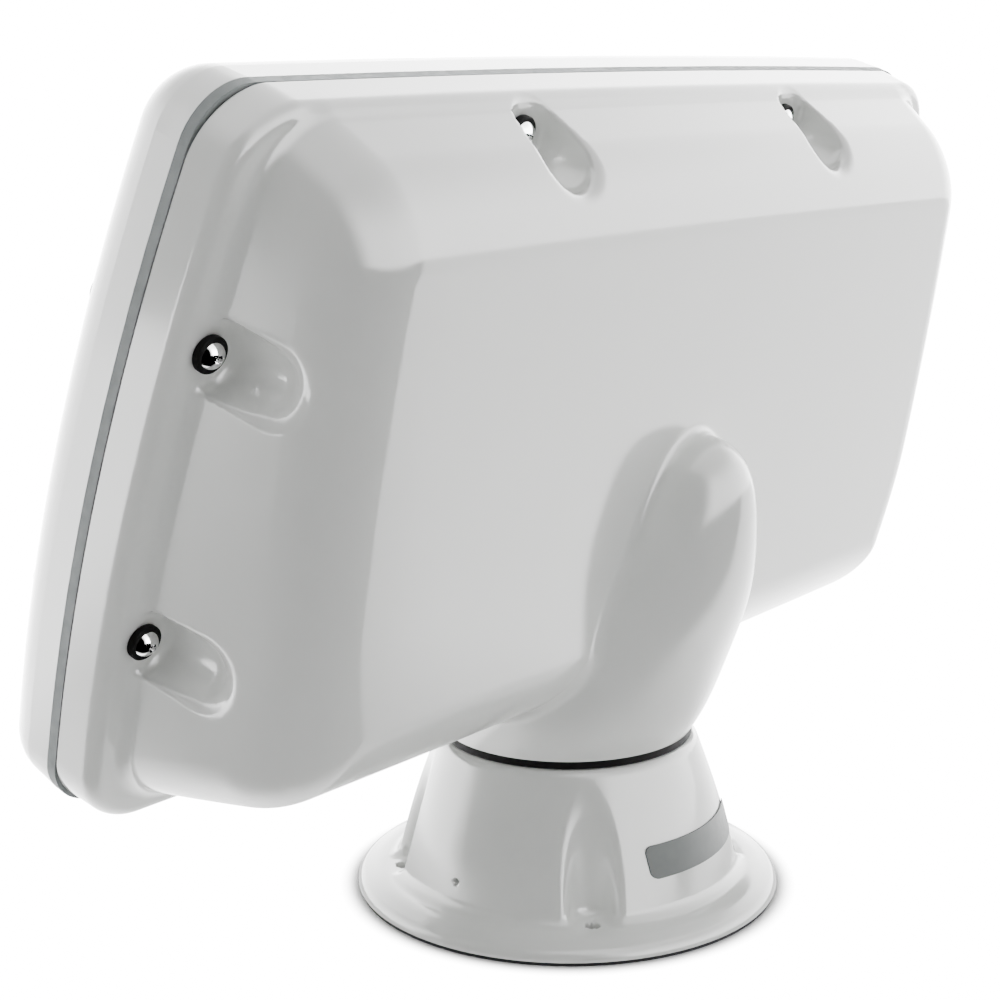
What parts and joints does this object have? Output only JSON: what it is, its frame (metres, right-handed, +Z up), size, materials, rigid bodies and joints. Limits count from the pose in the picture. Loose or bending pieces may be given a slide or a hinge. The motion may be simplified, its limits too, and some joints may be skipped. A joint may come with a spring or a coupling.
{
  "type": "swivel instrument pod",
  "caption": "Sealed white marine instrument pod on a swivelling neck and flanged pedestal base, with a blank front to be cut for a display and a cable way through the base.",
  "frame": {"origin": "on the swivel axis, at the underside of the base gasket, the centre of the bolt circle", "axes": "+Z up along the swivel axis; the blank front face looks towards -Y and slightly up; the case is widest along X"},
  "size_m": [0.4664, 0.1782, 0.3429],
  "materials": {
    "white_gloss": "high gloss",
    "black_foam_rubber": "matte",
    "badge_film": "satin",
    "black_seal": "satin",
    "stainless": "machined",
    "acetal": "satin",
    "spring_steel": "satin",
    "polished_stainless": "polished",
    "grey_silicone": "satin",
    "brass": "machined"
  },
  "bodies": {
    "base": {"base_housing": "white_gloss", "base_gasket": "black_foam_rubber", "base_badge": "badge_film", "swivel_seal_ring": "black_seal", "swivel_spindle": "stainless", "spindle_screws": "stainless", "stop_pin": "stainless", "friction_washer": "acetal", "disc_spring": "spring_steel", "thrust_washer": "stainless", "lock_nut": "stainless", "cable_bush": "black_seal"},
    "pod": {"neck_plate": "stainless", "neck_plate_screws": "stainless", "rear_shell": "white_gloss", "front_shell": "white_gloss", "case_gasket": "grey_silicone", "case_screws": "polished_stainless", "case_screw_washers": "black_seal", "threaded_inserts": "brass"}
  },
  "joints": [
    {"name": "pod_swivel", "type": "hinge", "parent": "base", "child": "pod", "pos_m": [0, 0, 0.08], "axis": [0, 0, 1], "range_deg": [-90, 90]}
  ]
}
